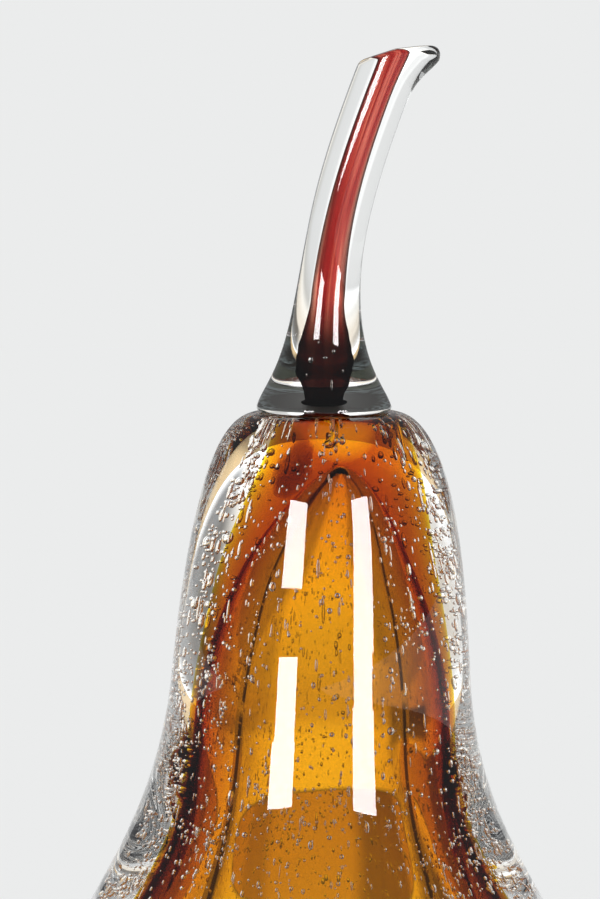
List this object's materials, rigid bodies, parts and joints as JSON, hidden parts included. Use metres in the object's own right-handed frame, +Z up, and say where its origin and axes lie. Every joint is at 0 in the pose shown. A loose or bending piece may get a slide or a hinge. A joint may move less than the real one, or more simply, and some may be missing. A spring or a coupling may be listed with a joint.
{
  "type": "glass pear ornament",
  "caption": "Hand-worked glass pear: amber bubble cased in clear glass full of seed bubbles, with a bent clear stem cored in burgundy.",
  "frame": {"origin": "centre of the ground base, on the surface the pear stands on", "axes": "+Z up through the pear, +X towards the side its stem bends to, so -Y faces the picture's camera"},
  "size_m": [0.124, 0.124, 0.2806],
  "materials": {
    "clear_glass": "fire polished, ground base",
    "bubbled_glass": "clear with seed bubbles",
    "amber_glass": "transparent amber",
    "burgundy_glass": "streaked burgundy"
  },
  "bodies": {
    "root": {"outer_clear_gather": "clear_glass", "bubbled_gather": "bubbled_glass", "amber_bubble": "amber_glass", "stem_casing": "clear_glass", "stem_core": "burgundy_glass"}
  },
  "joints": []
}
